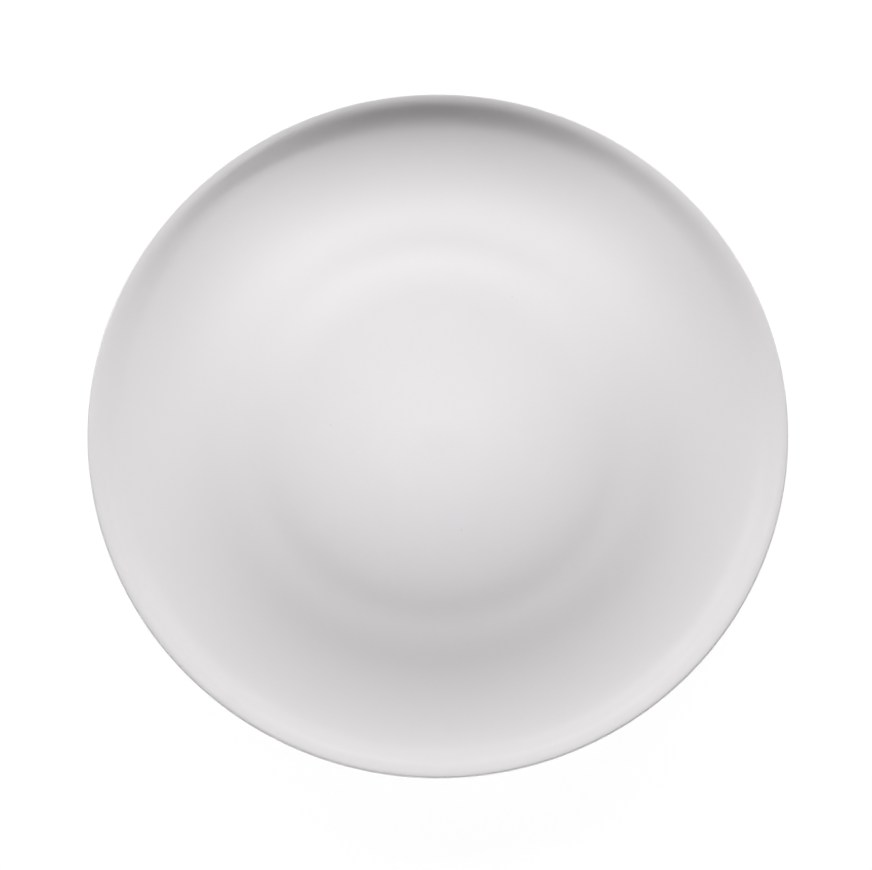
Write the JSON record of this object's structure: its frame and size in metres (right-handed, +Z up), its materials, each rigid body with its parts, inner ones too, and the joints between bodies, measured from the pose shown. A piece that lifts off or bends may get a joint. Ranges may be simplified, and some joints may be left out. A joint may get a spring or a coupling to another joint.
{
  "type": "dessert plate",
  "caption": "Round white porcelain coupe plate with a dished face, a softly rolled lip and a bare foot ring, for serving dessert.",
  "frame": {"origin": "on the table under the centre of the plate, level with the bottom of the foot ring", "axes": "+Z up along the axis the plate is turned about, -Y towards the viewer of the picture, +X to the viewer's right"},
  "size_m": [0.21, 0.21, 0.019],
  "materials": {
    "bare_porcelain": "ground matt",
    "white_glaze": "soft gloss"
  },
  "bodies": {
    "root": {"porcelain_body": "bare_porcelain", "outer_glaze": "white_glaze", "base_glaze": "white_glaze"}
  },
  "joints": []
}
